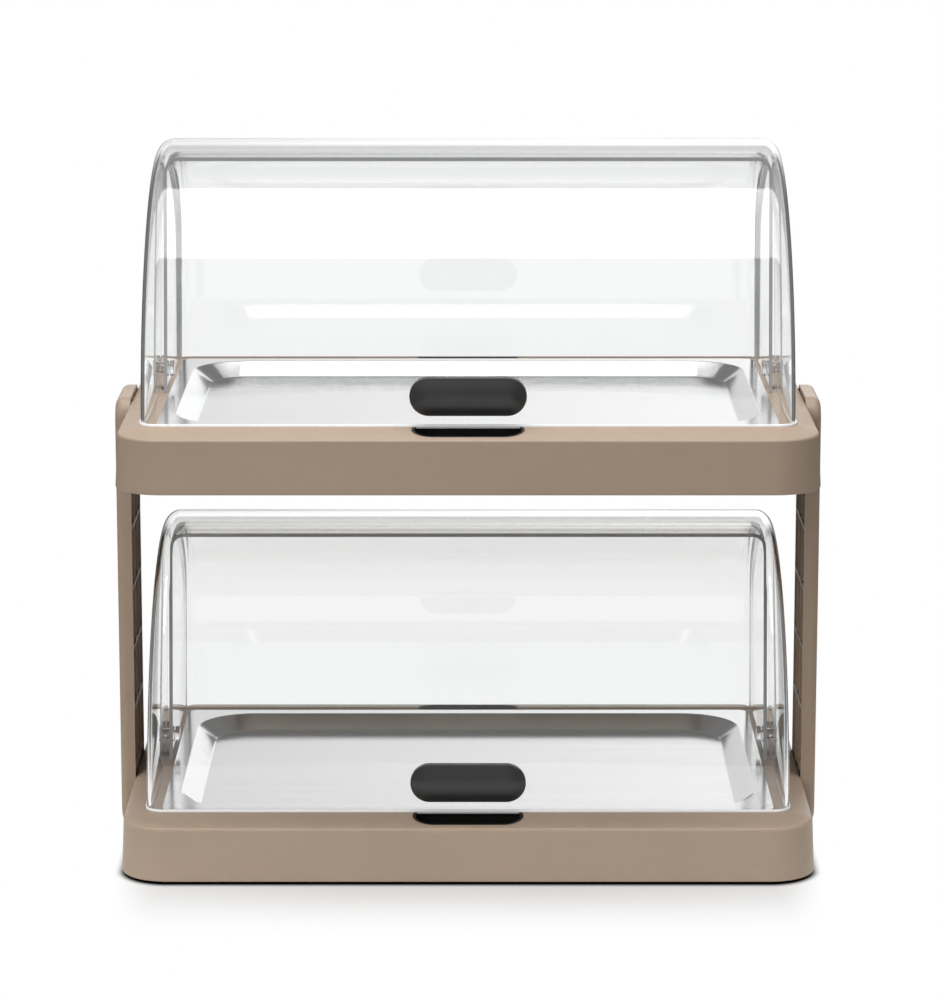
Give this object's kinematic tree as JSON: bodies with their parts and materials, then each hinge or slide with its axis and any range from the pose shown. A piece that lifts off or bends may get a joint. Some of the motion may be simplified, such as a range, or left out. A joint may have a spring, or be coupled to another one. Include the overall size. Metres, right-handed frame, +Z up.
{
  "type": "refrigerated roll-top display",
  "caption": "Tiered cold display with clear roll-top covers that turn on side pivots, steel trays over cold packs, moulded bases and side posts.",
  "frame": {"origin": "on the floor under the middle of the base", "axes": "+X across the width to the right, +Y to the back, +Z up; the handles face -Y"},
  "size_m": [0.4566, 0.3198, 0.45],
  "materials": {
    "moulded_base": "fine satin grain, taupe",
    "moulded_post": "fine satin grain, taupe",
    "clear_cover": "clear polished plastic",
    "clear_pivot": "clear moulded plastic",
    "tray_steel": "fine satin stainless steel",
    "handle_plastic": "black, satin",
    "black_cup": "black, fine grain",
    "cold_pack": "pale translucent polyethylene",
    "pack_cap": "blue, matt",
    "screw_steel": "zinc plated steel",
    "foot_rubber": "matt black rubber"
  },
  "bodies": {
    "frame": {"lower_base_shell": "moulded_base", "lower_front_recess_cup": "black_cup", "lower_rear_recess_cup": "black_cup", "lower_tray": "tray_steel", "lower_cold_pack_left": "cold_pack", "lower_cold_pack_right": "cold_pack", "lower_cold_pack_caps": "pack_cap", "lower_rear_cover": "clear_cover", "lower_left_pivot_bracket": "clear_pivot", "lower_right_pivot_bracket": "clear_pivot", "lower_left_pivot_pin": "clear_pivot", "lower_right_pivot_pin": "clear_pivot", "lower_post_screws": "screw_steel", "upper_base_shell": "moulded_base", "upper_front_recess_cup": "black_cup", "upper_rear_recess_cup": "black_cup", "upper_tray": "tray_steel", "upper_cold_pack_left": "cold_pack", "upper_cold_pack_right": "cold_pack", "upper_cold_pack_caps": "pack_cap", "upper_rear_cover": "clear_cover", "upper_left_pivot_bracket": "clear_pivot", "upper_right_pivot_bracket": "clear_pivot", "upper_left_pivot_pin": "clear_pivot", "upper_right_pivot_pin": "clear_pivot", "upper_post_screws": "screw_steel", "left_side_post": "moulded_post", "right_side_post": "moulded_post", "rubber_feet": "foot_rubber"},
    "lower_roll_top": {"lower_front_cover": "clear_cover", "lower_handle": "handle_plastic", "lower_handle_backing": "handle_plastic", "lower_handle_screws": "screw_steel"},
    "upper_roll_top": {"upper_front_cover": "clear_cover", "upper_handle": "handle_plastic", "upper_handle_backing": "handle_plastic", "upper_handle_screws": "screw_steel"}
  },
  "joints": [
    {"name": "lower_cover_hinge", "type": "hinge", "parent": "frame", "child": "lower_roll_top", "pos_m": [0, 0.017, 0.0515], "axis": [-1, 0, 0], "range_deg": [0, 84]},
    {"name": "upper_cover_hinge", "type": "hinge", "parent": "frame", "child": "upper_roll_top", "pos_m": [0, 0.017, 0.2995], "axis": [-1, 0, 0], "range_deg": [0, 84]}
  ]
}
